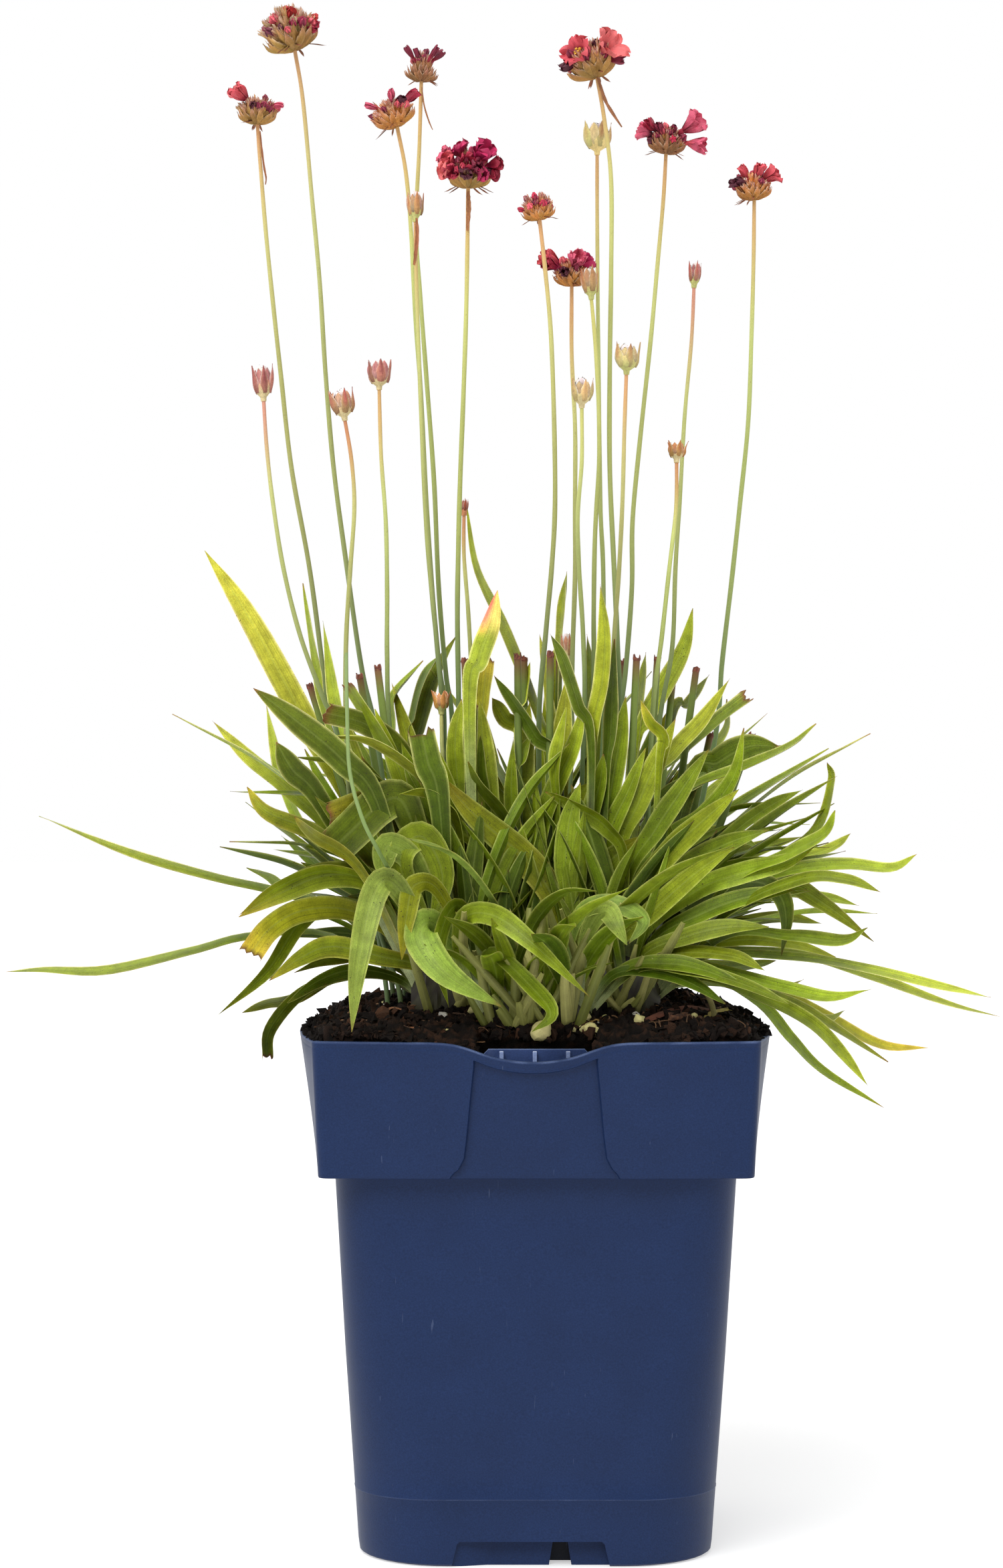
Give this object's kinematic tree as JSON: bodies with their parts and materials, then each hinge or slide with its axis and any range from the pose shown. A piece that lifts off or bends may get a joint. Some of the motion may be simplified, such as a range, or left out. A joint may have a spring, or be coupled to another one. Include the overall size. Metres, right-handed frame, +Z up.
{
  "type": "potted ballerina red thrift",
  "caption": "Clump of red thrift in flower: strap leaves, thin stems with tan bowls of coral and maroon florets, and buds, in a square plastic nursery pot.",
  "frame": {"origin": "middle of the underside of the pot, on the surface that it stands on", "axes": "+Z up along the stems, -Y towards the front of the pot with the label slot, +X to the right of the front"},
  "size_m": [0.298, 0.2489, 0.4663],
  "materials": {
    "pot": "satin moulded dark blue with a fine grain",
    "soil": "loose dark peat with perlite and feed grains",
    "bark": "dry bark, matt",
    "leaf": "satin green strap leaf with a pale midrib",
    "stem": "satin flower stem, green below and pinkish tan above",
    "bract": "papery tan bracts, matt",
    "floret": "soft coral to maroon petals",
    "bud": "yellow-green bud with red tips"
  },
  "bodies": {
    "root": {"pot": "pot", "soil": "soil", "bark_chip_1": "bark", "bark_chip_2": "bark", "bark_chip_3": "bark", "leafy_shoots_front": "leaf", "leafy_shoots_low_front": "leaf", "leafy_shoots_left": "leaf", "leafy_shoots_right": "leaf", "leafy_shoots_back": "leaf", "leafy_shoots_low_back": "leaf", "stem_tall_left": "stem", "bracts_tall_left": "bract", "florets_tall_left": "floret", "stem_left": "stem", "bracts_left": "bract", "florets_left": "floret", "stem_mid_left": "stem", "bracts_mid_left": "bract", "florets_mid_left": "floret", "stem_high_mid": "stem", "bracts_high_mid": "bract", "florets_high_mid": "floret", "stem_red_middle": "stem", "bracts_red_middle": "bract", "florets_red_middle": "floret", "stem_small_brown": "stem", "bracts_small_brown": "bract", "florets_small_brown": "floret", "stem_low_red": "stem", "bracts_low_red": "bract", "florets_low_red": "floret", "stem_high_right": "stem", "bracts_high_right": "bract", "florets_high_right": "floret", "stem_right": "stem", "bracts_right": "bract", "florets_right": "floret", "stem_far_right": "stem", "bracts_far_right": "bract", "florets_far_right": "floret", "bud_pair": "bud", "bud_low_mid": "bud", "bud_high_right": "bud", "bud_far_right": "bud", "bud_right": "bud", "bud_mid": "bud", "bud_dry": "bud", "bud_left": "bud", "bud_front_left": "bud", "bud_mid_left": "bud", "tip_dry": "bud", "bud_low_orange": "bud", "bud_low_pale": "bud"}
  },
  "joints": []
}
